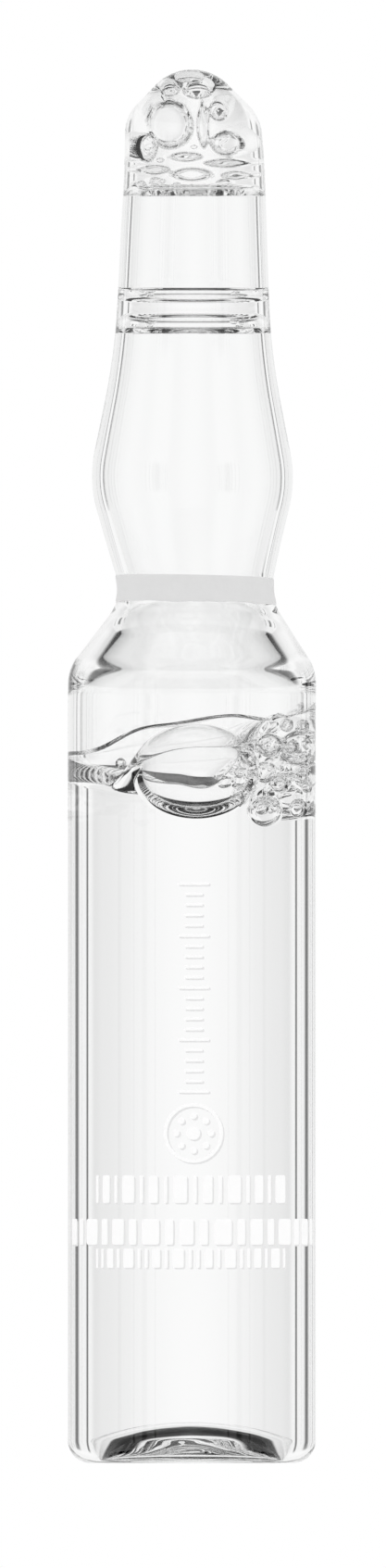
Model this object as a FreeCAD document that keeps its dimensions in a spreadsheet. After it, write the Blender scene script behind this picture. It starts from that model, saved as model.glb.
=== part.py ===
import FreeCAD, Part
import enum
import math
import os

import Sketcher

# Sealed glass ampoule with a fired break ring and its liquid filling.
# Millimetres, +Z up, origin at the middle of the standing ring, long axis on Z.
#
# The glass is a body of revolution. Its outside and its bore are two outlines that share the same
# stations: heel, shoulder, constriction (neck), bulb, foot of the stem, crown and nose. A station
# is a round, and straight runs join one round to the next, tangent to both. The bore takes each
# round from the outside and steps in by the wall there, so a wall can be changed by itself.
# The liquid takes its shape from the bore, and its free surfaces are parts of spheres: what lies
# between the bore's foot and the middle of such a sphere, less the sphere itself.

SIZES = {
    "Outside of the glass, from the foot to the tip": {
        "body_diameter": 10.75,
        "heel_round": 1.0,
        "ring_inner_radius": 4.2,
        "punt_depth": 1.5,
        "punt_edge_round": 0.15,
        "shoulder_height": 33.75,
        "shoulder_round": 2.0,
        "neck_rise": 4.15,
        "neck_diameter": 6.7,
        "neck_round": 2.0,
        "bulb_rise": 4.8,
        "bulb_diameter": 8.7,
        "bulb_round": 5.5,
        "stem_foot_rise": 5.37,
        "stem_foot_diameter": 6.77,
        "stem_foot_round": 28.0,
        "crown_rise": 9.38,
        "crown_diameter": 5.96,
        "crown_round": 2.0,
        "nose_rise": 0.7,
        "nose_round": 2.2,
    },
    "Walls and the ledge inside the shoulder": {
        "body_wall": 0.5,
        "floor_wall": 0.3,
        "neck_wall": 0.55,
        "bulb_wall": 0.49,
        "stem_wall": 0.43,
        "tip_wall": 0.5,
        "bore_shoulder_drop": 0.5,
        "bore_shoulder_round": 1.6,
        "ledge_radius": 3.05,
        "ledge_lift": 1.2,
        "ledge_round": 2.0,
    },
    "Break ring": {
        "ring_width": 1.16,
        "ring_thickness": 0.05,
        "ring_tilt": 1.2,
    },
    "Liquid": {
        "fill_height": 29.25,
        "surface_radius": 6.2,
        "surface_shift": -0.8,
        "film": 0.12,
        "meniscus_radius": 5.4,
        "plug_rise": 1.88,
        "plug_thickness": 0.3,
        "tip_fill_drop": 2.05,
    },
}

# Bubbles: radius, place across (x, y), and height above the surface that they belong to.
BUBBLE_FIELDS = ("radius", "x", "y", "rise")
SOLUTION_BUBBLES = {
    "dome_bubble": (2.05, 0.2, -2.3, 0.65),
    "high_bubble": (0.75, 2.95, -2.3, 2.05),
    "low_bubble": (0.62, 3.45, -2.0, -0.1),
}
TIP_BUBBLES = {
    "left_tip_bubble": (0.95, -0.75, -1.0, 2.3),
    "right_tip_bubble": (0.7, 1.25, -0.9, 1.6),
    "low_tip_bubble": (0.5, -1.7, -0.8, 1.0),
}

UP = FreeCAD.Vector(0, 0, 1)


class Side(enum.IntEnum):
    """Whether an arc of an outline bulges away from the axis or pinches in towards it."""

    OUTWARD = 1
    INWARD = -1


class Spot(enum.IntEnum):
    """The points of a line or an arc that a sketch can hold."""

    START = 1
    END = 2
    CENTRE = 3


class Fixed(enum.IntEnum):
    """What every sketch already has: its horizontal axis, which starts at the origin, and its
    vertical axis."""

    HORIZONTAL = -1
    VERTICAL = -2


OUTWARD, INWARD = Side
START, END, CENTRE = Spot
ORIGIN_POINT = (Fixed.HORIZONTAL, START)

doc = FreeCAD.newDocument("ampoule")


# Driving dimensions

def fill_sheet():
    """Put every driving dimension into the sheet, one row each, under its heading."""
    sheet = doc.addObject("Spreadsheet::Sheet", "Sizes")
    sections = dict(SIZES)
    sections["Bubbles"] = {
        name + "_" + field: value
        for name, bubble in (SOLUTION_BUBBLES | TIP_BUBBLES).items()
        for field, value in zip(BUBBLE_FIELDS, bubble)
    }
    row = 1
    for heading, sizes in sections.items():
        sheet.set(f"A{row}", heading)
        row += 1
        for alias, value in sizes.items():
            sheet.set(f"A{row}", alias.replace("_", " "))
            sheet.set(f"B{row}", str(value))
            sheet.setAlias(f"B{row}", alias)
            row += 1
    doc.recompute()
    return sheet


class Length:
    """A length worked out from the sheet: its value now, and the expression that keeps it."""

    def __init__(self, value, text):
        self.value = value
        self.text = text

    def __add__(self, other):
        return Length(self.value + other.value, f"({self.text} + {other.text})")

    def __sub__(self, other):
        return Length(self.value - other.value, f"({self.text} - {other.text})")

    def half(self):
        return Length(self.value / 2, f"({self.text} / 2)")


def size(alias):
    """The length that a cell of the sheet holds."""
    return Length(float(getattr(sheet, alias)), "Sizes." + alias)


NOTHING = Length(0.0, "0")


# Outlines

class Dome:
    """The part of an outline that rises from the foot ring to the axis."""

    def __init__(self, apex):
        self.apex = apex
        self.radius = size("ring_inner_radius")
        self.edge_round = size("punt_edge_round")


class Station:
    """A round of an outline, with its centre across (r) and up (z), its radius and its side.

    side is OUTWARD where the outline bulges away from the axis and INWARD where it pinches in.
    A corner is a station whose straight runs meet in a point, rounded off afterwards.
    """

    def __init__(self, name, r, z, radius, side, corner=False):
        self.name = name
        self.r = r
        self.z = z
        self.radius = radius
        self.side = side
        self.corner = corner

    def reach(self):
        """Signed distance from the centre to the tangent of a run, along the run's normal."""
        return 0.0 if self.corner else self.side * self.radius.value

    def point(self):
        return FreeCAD.Vector(self.r.value, self.z.value, 0)


def straight_run(first, second):
    """Ends of the run from one station to the next.

    Its unit normal n points away from the axis and satisfies
    n . (second centre - first centre) = first reach - second reach.
    """
    across = second.r.value - first.r.value
    along = second.z.value - first.z.value
    offset = (first.reach() - second.reach()) / math.hypot(across, along)
    angle = math.asin(offset) - math.atan2(across, along)
    normal = FreeCAD.Vector(math.cos(angle), math.sin(angle), 0)
    return first.point() + normal * first.reach(), second.point() + normal * second.reach()


def angle_of(vector):
    return math.atan2(vector.y, vector.x)


class Outline:
    """Draws the closed half section of a turned shape in a sketch, from the foot up to the tip."""

    def __init__(self, body, name):
        self.sketch = body.newObject("Sketcher::SketchObject", name)
        plane = next(f for f in body.Origin.OriginFeatures if f.Role == "XZ_Plane")
        self.sketch.AttachmentSupport = (plane, "")
        self.sketch.MapMode = "FlatFace"

    def drive(self, name, kind, *where, length):
        """Add a dimension and bind it to the sheet."""
        index = self.sketch.addConstraint(Sketcher.Constraint(kind, *where, length.value))
        self.sketch.renameConstraint(index, name)
        self.sketch.setExpression("Constraints." + name, length.text)

    def tie(self, kind, *where):
        self.sketch.addConstraint(Sketcher.Constraint(kind, *where))

    def line(self, start, end):
        return self.sketch.addGeometry(Part.LineSegment(start, end), False)

    def arc(self, centre, radius, start, end, side):
        """Arc from start to end. Returns it with its first and its last end, in drawing order."""
        circle = Part.Circle(centre, UP, radius)
        angles = [angle_of(start - centre), angle_of(end - centre)]
        ends = (START, END)
        if side == INWARD:
            angles.reverse()
            ends = (END, START)
        if angles[1] < angles[0]:
            angles[1] += 2 * math.pi
        arc = self.sketch.addGeometry(Part.ArcOfCircle(circle, *angles), False)
        return (arc, *ends)

    def rounded_corner(self, station, before, after):
        """Round off a corner. before and after are the far ends of the two runs."""
        corner = station.point()
        incoming = (corner - before).normalize()
        outgoing = (after - corner).normalize()
        setback = station.radius.value * math.tan(incoming.getAngle(outgoing) / 2)
        start = corner - incoming * setback
        end = corner + outgoing * setback
        left = FreeCAD.Vector(-incoming.y, incoming.x, 0)
        centre = start + left * (station.radius.value * station.side)
        return start, end, centre

    def draw(self, dome, stations):
        """Draw the outline: a dome on the axis, a flat foot ring, and then the stations."""
        runs = [straight_run(a, b) for a, b in zip(stations, stations[1:])]
        starts = [stations[0].point() - FreeCAD.Vector(0, stations[0].radius.value, 0)]
        starts += [run[1] for run in runs]
        ends = [run[0] for run in runs]
        ends.append(stations[-1].point() + FreeCAD.Vector(0, stations[-1].radius.value, 0))
        centres = [station.point() for station in stations]
        for i, station in enumerate(stations):
            if station.corner:
                starts[i], ends[i], centres[i] = self.rounded_corner(station, ends[i - 1], starts[i + 1])

        foot = self.line(FreeCAD.Vector(dome.radius.value, starts[0].y, 0), starts[0])
        self.tie("Horizontal", foot)
        self.drive("foot_ring_radius", "DistanceX", *ORIGIN_POINT, foot, START, length=dome.radius)
        apex_point = self.draw_dome(dome, foot)

        previous = (foot, END)
        for i, station in enumerate(stations):
            arc, first, last = self.arc(
                centres[i], station.radius.value, starts[i], ends[i], station.side)
            self.tie("Tangent", *previous, arc, first)
            self.drive(station.name + "_round", "Radius", arc, length=station.radius)
            if station.corner:
                self.hold_corner(station, previous[0])
            else:
                self.drive(station.name + "_z", "DistanceY", *ORIGIN_POINT, arc, CENTRE, length=station.z)
            if station is stations[-1]:
                self.tie("PointOnObject", arc, CENTRE, Fixed.VERTICAL)
                self.tie("PointOnObject", arc, last, Fixed.VERTICAL)
                self.close_on_axis(ends[i], (arc, last), apex_point)
                break
            if not station.corner:
                self.drive(station.name + "_r", "DistanceX", *ORIGIN_POINT, arc, CENTRE, length=station.r)
            run = self.line(ends[i], starts[i + 1])
            self.tie("Tangent", arc, last, run, START)
            if station.corner:
                self.tie("PointOnObject", self.corner_point, START, run)
            previous = (run, END)
        return self.sketch

    def draw_dome(self, dome, foot):
        """Draw the dome that rises from the foot ring to the axis, and the round at its edge.

        With a the rise, x the ring's radius and e the edge's round, both arcs touch where the
        dome's radius is (x * x + a * a) / (2 * a) - e.
        """
        ring = self.sketch.Geometry[foot].StartPoint
        rise = dome.apex.value - ring.y
        edge_round = dome.edge_round.value
        radius = (ring.x ** 2 + rise ** 2) / (2 * rise) - edge_round
        centre = FreeCAD.Vector(0, dome.apex.value - radius, 0)
        edge_centre = ring + FreeCAD.Vector(0, edge_round, 0)
        touch = centre + (edge_centre - centre).normalize() * radius
        apex = FreeCAD.Vector(0, dome.apex.value, 0)
        arc, first, last = self.arc(centre, radius, touch, apex, OUTWARD)
        self.tie("PointOnObject", arc, CENTRE, Fixed.VERTICAL)
        self.tie("PointOnObject", arc, last, Fixed.VERTICAL)
        self.drive("dome_apex", "DistanceY", *ORIGIN_POINT, arc, last, length=dome.apex)
        edge, edge_first, edge_last = self.arc(edge_centre, edge_round, touch, ring, OUTWARD)
        self.drive("edge_round", "Radius", edge, length=dome.edge_round)
        self.tie("Tangent", arc, first, edge, edge_first)
        self.tie("Tangent", edge, edge_last, foot, START)
        return apex, (arc, last)

    def hold_corner(self, station, incoming_run):
        """Hold the point where two runs would meet, and keep the incoming run on it."""
        self.corner_point = self.sketch.addGeometry(Part.Point(station.point()), True)
        for axis, length in (("DistanceX", station.r), ("DistanceY", station.z)):
            name = station.name + axis[-1]
            self.drive(name, axis, *ORIGIN_POINT, self.corner_point, START, length=length)
        self.tie("PointOnObject", self.corner_point, START, incoming_run)

    def close_on_axis(self, tip, tip_end, dome_apex):
        """Close the outline along the axis of revolution."""
        apex, apex_end = dome_apex
        axis = self.line(tip, apex)
        self.tie("Coincident", *tip_end, axis, START)
        self.tie("Coincident", axis, END, *apex_end)


def turned_body(name, dome, stations):
    """Body of revolution: its outline, and the full turn about the axis."""
    body = doc.addObject("PartDesign::Body", name)
    sketch = Outline(body, name + "_outline").draw(dome, stations)
    turn = body.newObject("PartDesign::Revolution", name + "_turn")
    turn.Profile = sketch
    turn.ReferenceAxis = (sketch, ["V_Axis"])
    return body


# Booleans and primitives

def combine(kind, name, base, tool):
    """Part::Cut, Part::Fuse or Part::Common of two objects."""
    result = doc.addObject("Part::" + kind, name)
    result.Base = base
    result.Tool = tool
    return result


def sphere(name, x, y, z, radius):
    """Sphere whose centre and radius are bound to the sheet."""
    ball = doc.addObject("Part::Sphere", name)
    ball.setExpression("Radius", radius.text)
    for axis, length in zip("xyz", (x, y, z)):
        ball.setExpression("Placement.Base." + axis, length.text)
    return ball


def slab(name, low, high, radius):
    """Upright cylinder on the axis, from low to high."""
    cylinder = doc.addObject("Part::Cylinder", name)
    cylinder.setExpression("Radius", radius.text)
    cylinder.setExpression("Height", (high - low).text)
    cylinder.setExpression("Placement.Base.z", low.text)
    return cylinder


def bubbles(names, surface, growth=NOTHING, suffix=""):
    """Spheres of a foam, each placed from the surface that it belongs to."""
    return [
        sphere(name + suffix, size(name + "_x"), size(name + "_y"),
               surface + size(name + "_rise"), size(name + "_radius") + growth)
        for name in names
    ]


def group(name, shapes):
    """One object made of several."""
    fused = doc.addObject("Part::MultiFuse", name)
    fused.Shapes = shapes
    return fused


sheet = fill_sheet()

# Stations that the outside and the bore share

body_radius = size("body_diameter").half()
heel_round = size("heel_round")
shoulder_round = size("shoulder_round")
shoulder_height = size("shoulder_height")
neck_round = size("neck_round")
neck_centre = size("neck_diameter").half() + neck_round
neck_height = shoulder_height + size("neck_rise")
bulb_round = size("bulb_round")
bulb_centre = size("bulb_diameter").half() - bulb_round
bulb_height = neck_height + size("bulb_rise")
stem_foot_radius = size("stem_foot_diameter").half()
stem_foot_height = bulb_height + size("stem_foot_rise")
stem_foot_round = size("stem_foot_round")
crown_round = size("crown_round")
crown_centre = size("crown_diameter").half() - crown_round
crown_height = stem_foot_height + size("crown_rise")
nose_round = size("nose_round")
nose_height = crown_height + size("nose_rise")
tip_height = nose_height + nose_round

body_wall = size("body_wall")
stem_wall = size("stem_wall")
bore_radius = body_radius - body_wall
bore_shoulder_round = size("bore_shoulder_round")
bore_shoulder_height = shoulder_height - size("bore_shoulder_drop")
ledge_height = bore_shoulder_height + bore_shoulder_round + size("ledge_lift")
punt_depth = size("punt_depth")

# Glass

outside = turned_body("outside", Dome(punt_depth), [
    Station("heel", body_radius - heel_round, heel_round, heel_round, OUTWARD),
    Station("shoulder", body_radius - shoulder_round, shoulder_height, shoulder_round, OUTWARD),
    Station("neck", neck_centre, neck_height, neck_round, INWARD),
    Station("bulb", bulb_centre, bulb_height, bulb_round, OUTWARD),
    Station("stem_foot", stem_foot_radius, stem_foot_height, stem_foot_round, INWARD, corner=True),
    Station("crown", crown_centre, crown_height, crown_round, OUTWARD),
    Station("nose", NOTHING, nose_height, nose_round, OUTWARD),
])

bore = turned_body("bore", Dome(punt_depth + size("floor_wall")), [
    Station("heel", body_radius - heel_round, heel_round, heel_round - body_wall, OUTWARD),
    Station("shoulder", bore_radius - bore_shoulder_round, bore_shoulder_height,
            bore_shoulder_round, OUTWARD),
    Station("ledge", size("ledge_radius"), ledge_height, size("ledge_round"), INWARD, corner=True),
    Station("neck", neck_centre, neck_height, neck_round + size("neck_wall"), INWARD),
    Station("bulb", bulb_centre, bulb_height, bulb_round - size("bulb_wall"), OUTWARD),
    Station("stem_foot", stem_foot_radius - stem_wall, stem_foot_height, stem_foot_round,
            INWARD, corner=True),
    Station("crown", crown_centre, crown_height, crown_round - stem_wall, OUTWARD),
    Station("nose", NOTHING, nose_height, nose_round - size("tip_wall"), OUTWARD),
])

glass = combine("Cut", "glass", outside, bore)

# Break ring: the skin between the constriction and a slightly smaller round about the same
# centre, cut to a band by a slab that leans a little to one side

ring_width = size("ring_width")
ring_core = slab("ring_core", neck_height - ring_width, neck_height + ring_width, neck_centre)
ring_waist = doc.addObject("Part::Torus", "ring_waist")
ring_waist.setExpression("Radius1", neck_centre.text)
ring_waist.setExpression("Radius2", (neck_round - size("ring_thickness")).text)
ring_waist.setExpression("Placement.Base.z", neck_height.text)
ring_sleeve = combine("Cut", "ring_sleeve", ring_core, ring_waist)
ring_skin = combine("Cut", "ring_skin", ring_sleeve, outside)
ring_band = slab("ring_band", neck_height - ring_width.half(), neck_height + ring_width.half(), body_radius)
ring_band.Placement.Rotation = FreeCAD.Rotation(FreeCAD.Vector(0, 1, 0), 0)
ring_band.setExpression("Placement.Rotation.Angle", "Sizes.ring_tilt")
break_ring = combine("Common", "break_ring", ring_skin, ring_band)

# Liquid in the body: the foot of the bore up to a hollow surface that climbs the wall on the
# right, with the films of the bubbles that stand out of it, less the bubbles themselves

fill_height = size("fill_height")
surface_radius = size("surface_radius")
column = combine("Common", "column", bore,
                 slab("column_slab", NOTHING, fill_height + surface_radius, body_radius))
headspace = sphere("headspace", size("surface_shift"), NOTHING,
                   fill_height + surface_radius, surface_radius)
pool = combine("Cut", "pool", column, headspace)
films = group("films", bubbles(SOLUTION_BUBBLES, fill_height, size("film"), "_film"))
films_in_bore = combine("Common", "films_in_bore", films, bore)
pool_with_films = combine("Fuse", "pool_with_films", pool, films_in_bore)
solution = combine("Cut", "solution", pool_with_films,
                   group("solution_bubbles", bubbles(SOLUTION_BUBBLES, fill_height)))

# Liquid caught in the stem: a plug hollow on both sides

meniscus_radius = size("meniscus_radius")
plug_low = stem_foot_height + size("plug_rise") - size("plug_thickness").half()
plug_high = plug_low + size("plug_thickness")
plug_blank = combine("Common", "plug_blank", bore,
                     slab("plug_slab", plug_low - meniscus_radius, plug_high + meniscus_radius,
                          stem_foot_radius))
plug_gas = group("plug_gas", [
    sphere("plug_gas_below", NOTHING, NOTHING, plug_low - meniscus_radius, meniscus_radius),
    sphere("plug_gas_above", NOTHING, NOTHING, plug_high + meniscus_radius, meniscus_radius),
])
neck_plug = combine("Cut", "neck_plug", plug_blank, plug_gas)

# Liquid and foam caught in the tip

tip_fill = crown_height - size("tip_fill_drop")
tip_blank = combine("Common", "tip_blank", bore,
                    slab("tip_slab", tip_fill - meniscus_radius, tip_height, stem_foot_radius))
tip_gas = sphere("tip_gas", NOTHING, NOTHING, tip_fill - meniscus_radius, meniscus_radius)
tip_open = combine("Cut", "tip_open", tip_blank, tip_gas)
tip_liquid = combine("Cut", "tip_liquid", tip_open, group("tip_foam", bubbles(TIP_BUBBLES, tip_fill)))

doc.recompute()

# Checks, and one file for each sub-part

for item in doc.Objects:
    if "Invalid" in item.State or "Error" in item.State:
        raise RuntimeError(f"{item.Label} failed: {item.State}")

os.makedirs("parts", exist_ok=True)
for node in (glass, break_ring, solution, neck_plug, tip_liquid):
    if node.Shape.isNull() or not node.Shape.isValid():
        raise RuntimeError(f"{node.Label} has no valid shape")
    node.Shape.exportStep(f"parts/{node.Label}.step")
    print(f"{node.Label}: {len(node.Shape.Solids)} solid, {node.Shape.Volume:.2f} mm3")
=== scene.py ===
"""Looks of a sealed glass ampoule with its break ring, its printed marks and its liquid.

Every length in the classes below is in millimetres, as on the maker's drawing; the meshes are in
metres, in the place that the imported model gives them.
"""

import logging
import math
from dataclasses import dataclass, field, replace
from enum import Enum
from typing import Any, Callable, Iterable, Optional, Union

import bpy
import numpy as np
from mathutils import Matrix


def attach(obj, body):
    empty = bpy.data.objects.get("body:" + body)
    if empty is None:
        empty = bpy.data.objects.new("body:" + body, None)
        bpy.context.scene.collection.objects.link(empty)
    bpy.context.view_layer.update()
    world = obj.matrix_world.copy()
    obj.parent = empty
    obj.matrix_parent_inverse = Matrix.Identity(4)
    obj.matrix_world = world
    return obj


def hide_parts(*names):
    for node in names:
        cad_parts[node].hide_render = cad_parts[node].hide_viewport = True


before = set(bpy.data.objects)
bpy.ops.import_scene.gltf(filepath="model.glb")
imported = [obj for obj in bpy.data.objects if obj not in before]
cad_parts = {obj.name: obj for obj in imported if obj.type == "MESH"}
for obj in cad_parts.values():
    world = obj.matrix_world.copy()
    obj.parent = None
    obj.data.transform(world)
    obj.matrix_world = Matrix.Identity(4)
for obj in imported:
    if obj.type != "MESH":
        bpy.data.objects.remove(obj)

MM = 0.001
MICROMETRE = 1e-6
BODY = "root"
WHITE = (1.0, 1.0, 1.0, 1.0)

# Columns round a turned piece, and the longest steps along a half section.
COLUMNS = 160
ARC_STEP = math.radians(3.0)
LONGEST_STEP = 0.5
# The liquid's own wall faces lie this far inside the bore.
SKIN_GAP = 0.008
# Rows of a bubble's grid, and how many more there are for each millimetre of its radius.
BUBBLE_ROWS = 13
BUBBLE_ROWS_PER_MM = 14
# Points round a mark of the print, and rings from its middle to its edge.
MARK_POINTS = 32
MARK_RINGS = 4

Stations = tuple[tuple[float, float], ...]

# How far the drawn glass stands to the right of the body's axis, by height.
LEAN: Stations = ((32.5, 0.0), (35.0, 0.04), (37.3, 0.17), (39.5, 0.09), (42.6, 0.03),
                  (46.0, 0.04), (53.0, 0.09), (56.5, 0.11), (59.0, 0.02), (60.35, 0.0))

log = logging.getLogger("ampoule")


class Side(Enum):
    """Whether a round of a half section bulges away from the axis or pinches in towards it."""

    OUTWARD = 1
    INWARD = -1


class Slot(Enum):
    """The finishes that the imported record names."""

    GLASS = "glass"
    ENAMEL = "break_ring"
    LIQUID = "liquid"


# Shader building


class Value:
    """A number inside a shader. Python's operators on it add Math nodes."""

    def __init__(self, shader: "Shader", socket: bpy.types.NodeSocket) -> None:
        """Wraps a socket of a shader's node."""
        self.shader = shader
        self.socket = socket

    def math(self, operation: str, *operands: Any) -> "Value":
        """Adds one Math node.

        Args:
            operation: the node's operation.
            operands: its inputs in order, as values or plain numbers.

        Returns:
            The node's result.
        """
        inputs = dict(enumerate(operands))
        node = self.shader.add("ShaderNodeMath", {"operation": operation}, inputs)
        return Value(self.shader, node.outputs[0])

    def __add__(self, other: Any) -> "Value":
        """Sum."""
        return self.math("ADD", self, other)

    def __radd__(self, other: Any) -> "Value":
        """Sum with a plain number on the left."""
        return self.math("ADD", other, self)

    def __sub__(self, other: Any) -> "Value":
        """Difference."""
        return self.math("SUBTRACT", self, other)

    def __rsub__(self, other: Any) -> "Value":
        """Difference from a plain number."""
        return self.math("SUBTRACT", other, self)

    def __mul__(self, other: Any) -> "Value":
        """Product."""
        return self.math("MULTIPLY", self, other)

    def __rmul__(self, other: Any) -> "Value":
        """Product with a plain number on the left."""
        return self.math("MULTIPLY", other, self)

    def absolute(self) -> "Value":
        """Size without its sign."""
        return self.math("ABSOLUTE", self)

    def either(self, other: Any) -> "Value":
        """The larger of two."""
        return self.math("MAXIMUM", self, other)


class Shader:
    """A node tree that is filled node by node."""

    def __init__(self, tree: bpy.types.NodeTree) -> None:
        """Empties the tree."""
        self.tree = tree
        self.tree.nodes.clear()

    def add(self, kind: str, settings: Optional[dict[str, Any]] = None,
            inputs: Optional[dict[Any, Any]] = None) -> bpy.types.Node:
        """Adds a node.

        Args:
            kind: the node's type.
            settings: its properties, set first.
            inputs: socket names or numbers, with a plain value, a Value or a socket for each.

        Returns:
            The node.
        """
        node = self.tree.nodes.new(kind)
        for name, setting in (settings or {}).items():
            setattr(node, name, setting)
        for name, given in (inputs or {}).items():
            if isinstance(given, Value):
                given = given.socket
            if isinstance(given, bpy.types.NodeSocket):
                self.tree.links.new(given, node.inputs[name])
            else:
                node.inputs[name].default_value = given
        return node

    def value(self, kind: str, settings: dict[str, Any], inputs: dict[Any, Any]) -> Value:
        """Adds a node and returns its first output as a number."""
        return Value(self, self.add(kind, settings, inputs).outputs[0])

    def smooth_step(self, number: Value, low: float, high: float) -> Value:
        """0 below low, 1 above high, and smooth between them. high may lie below low."""
        return self.value("ShaderNodeMapRange", {"interpolation_type": "SMOOTHSTEP"},
                          {"Value": number, "From Min": low, "From Max": high})


def new_material(name: str) -> tuple[bpy.types.Material, Shader]:
    """Makes a material.

    Args:
        name: its name.

    Returns:
        The material, and its node tree, which is empty.
    """
    material = bpy.data.materials.new(name)
    material.use_nodes = True
    return material, Shader(material.node_tree)


# Finishes


@dataclass(frozen=True)
class ClearFinish:
    """A boundary between two clear substances.

    ior is that of the substance behind the face, over that of the one in front of it.
    ripple is the depth of the streaks in micrometres, and grain is how many there are to a metre,
    round the axis and along it.
    """

    name: str
    ior: float
    tint: tuple[float, float, float] = (1.0, 1.0, 1.0)
    ripple: float = 0.0
    grain: tuple[float, float] = (900.0, 60.0)

    def material(self) -> bpy.types.Material:
        """Builds the finish.

        The streaks are noise. On drawn glass it changes fast across the surface and slowly along
        the axis.

        Returns:
            The material.
        """
        material, shader = new_material(self.name)
        inputs: dict[Any, Any] = {
            "Base Color": (*self.tint, 1.0),
            "Roughness": 0.0,
            "IOR": self.ior,
            "Transmission Weight": 1.0,
        }
        if self.ripple:
            place = shader.add("ShaderNodeTexCoord")
            stretched = shader.add("ShaderNodeMapping", {}, {
                "Vector": place.outputs["Object"],
                "Scale": (self.grain[0], self.grain[0], self.grain[1])})
            streaks = shader.value("ShaderNodeTexNoise", {}, {
                "Vector": stretched.outputs[0], "Scale": 1.0, "Detail": 1.0, "Roughness": 0.4})
            bump = shader.add("ShaderNodeBump", {}, {
                "Strength": 1.0, "Distance": self.ripple * MICROMETRE, "Height": streaks})
            inputs["Normal"] = bump.outputs[0]
        surface = shader.add("ShaderNodeBsdfPrincipled", {}, inputs)
        shader.add("ShaderNodeOutputMaterial", {}, {"Surface": surface.outputs[0]})
        return material


@dataclass(frozen=True)
class EnamelFinish:
    """Fired enamel: pale, matt to satin, a little uneven in shade and thickness.

    clouds and pinholes are how many there are to a metre. pit is the pinholes' depth in
    micrometres.
    """

    name: str
    grey: float
    mottle: float
    roughness: float
    clouds: float = 900.0
    pinholes: float = 6000.0
    pit: float = 4.0

    def material(self) -> bpy.types.Material:
        """Builds the finish: the shade wanders by the mottle, and pinholes roughen the face.

        Returns:
            The material.
        """
        material, shader = new_material(self.name)
        place = shader.add("ShaderNodeTexCoord").outputs["Object"]
        clouds = shader.value("ShaderNodeTexNoise", {}, {
            "Vector": place, "Scale": self.clouds, "Detail": 3.0, "Roughness": 0.6})
        grain = shader.value("ShaderNodeTexNoise", {}, {
            "Vector": place, "Scale": self.pinholes, "Detail": 2.0, "Roughness": 0.7})
        shade = self.grey + (clouds - 0.5) * self.mottle + (grain - 0.5) * (self.mottle * 0.5)
        colour = shader.add("ShaderNodeCombineColor", {}, {0: shade, 1: shade, 2: shade})
        bump = shader.add("ShaderNodeBump", {}, {
            "Strength": 0.4, "Distance": self.pit * MICROMETRE, "Height": grain})
        surface = shader.add("ShaderNodeBsdfPrincipled", {}, {
            "Base Color": colour.outputs[0],
            "Roughness": self.roughness + (grain - 0.5) * 0.2,
            "Specular IOR Level": 0.3,
            "Normal": bump.outputs[0],
        })
        shader.add("ShaderNodeOutputMaterial", {}, {"Surface": surface.outputs[0]})
        return material


GLASS_INDEX = 1.5
LIQUID_INDEX = 1.33
GLASS_TINT = (0.995, 0.997, 0.996)

CLEAR_GLASS = ClearFinish("clear_glass", GLASS_INDEX, GLASS_TINT, ripple=0.5)
PUNT_GLASS = ClearFinish("punt_glass", GLASS_INDEX, GLASS_TINT, 20.0, (500.0, 2000.0))
WETTED_GLASS = ClearFinish("wetted_glass", GLASS_INDEX / LIQUID_INDEX, ripple=0.5)
LIQUID_SURFACE = ClearFinish("liquid_surface", LIQUID_INDEX)
LIQUID_AGAINST_GLASS = ClearFinish("liquid_against_glass", 1.0)
RING_ENAMEL = EnamelFinish("ring_enamel", 0.73, 0.05, 0.45)
# The band's face against the glass gets a lighter shade than its front: painted light for the
# shade it gets behind the glass.
RING_BACK_PAINTED_LIGHT = EnamelFinish("ring_back_painted_light", 0.95, 0.02, 0.45)
WHITE_PRINT = EnamelFinish("white_print", 0.99, 0.01, 0.5)
# A grey copy of the print, set under the white one down and to the right: a painted drop shadow.
PAINTED_DROP_SHADOW = EnamelFinish("painted_drop_shadow", 0.8, 0.02, 0.5)


# Surfaces


@dataclass
class Surface:
    """Points and faces, with the number of its finish for every face."""

    points: np.ndarray
    quads: np.ndarray
    quad_finish: np.ndarray
    triangles: np.ndarray = field(default_factory=lambda: np.zeros((0, 3), int))
    triangle_finish: np.ndarray = field(default_factory=lambda: np.zeros(0, int))

    def inside_out(self) -> "Surface":
        """The same surface with its faces turned round."""
        return Surface(self.points, self.quads[:, ::-1], self.quad_finish,
                       self.triangles[:, ::-1], self.triangle_finish)


def joined(surfaces: list[Surface]) -> Surface:
    """Puts several surfaces into one, without merging points.

    Args:
        surfaces: the surfaces.

    Returns:
        All of them as one.
    """
    starts = np.cumsum([0] + [len(surface.points) for surface in surfaces])
    return Surface(
        np.vstack([s.points for s in surfaces]),
        np.vstack([s.quads + start for s, start in zip(surfaces, starts)]),
        np.concatenate([s.quad_finish for s in surfaces]),
        np.vstack([s.triangles + start for s, start in zip(surfaces, starts)]),
        np.concatenate([s.triangle_finish for s in surfaces]),
    )


def full_turn(count: int) -> np.ndarray:
    """Evenly stepped angles of one turn, from 0."""
    return np.arange(count) * (2 * math.pi / count)


def on_rings(radius: Any, angle: np.ndarray, height: Any) -> np.ndarray:
    """Points (radius * cosine of the angle, radius * sine of the angle, height)."""
    return np.stack(np.broadcast_arrays(radius * np.cos(angle), radius * np.sin(angle), height),
                    axis=-1)


def grid_quads(rows: int, columns: int) -> np.ndarray:
    """Faces of a grid of rows whose last column joins its first.

    Args:
        rows: number of rows.
        columns: number of points in a row.

    Returns:
        Four point numbers for each face.
    """
    column = np.arange(columns)
    after = np.roll(column, -1)
    start = (columns * np.arange(rows - 1))[:, None]
    return np.stack([start + column, start + after, start + columns + after,
                     start + columns + column], axis=-1).reshape(-1, 4)


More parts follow.
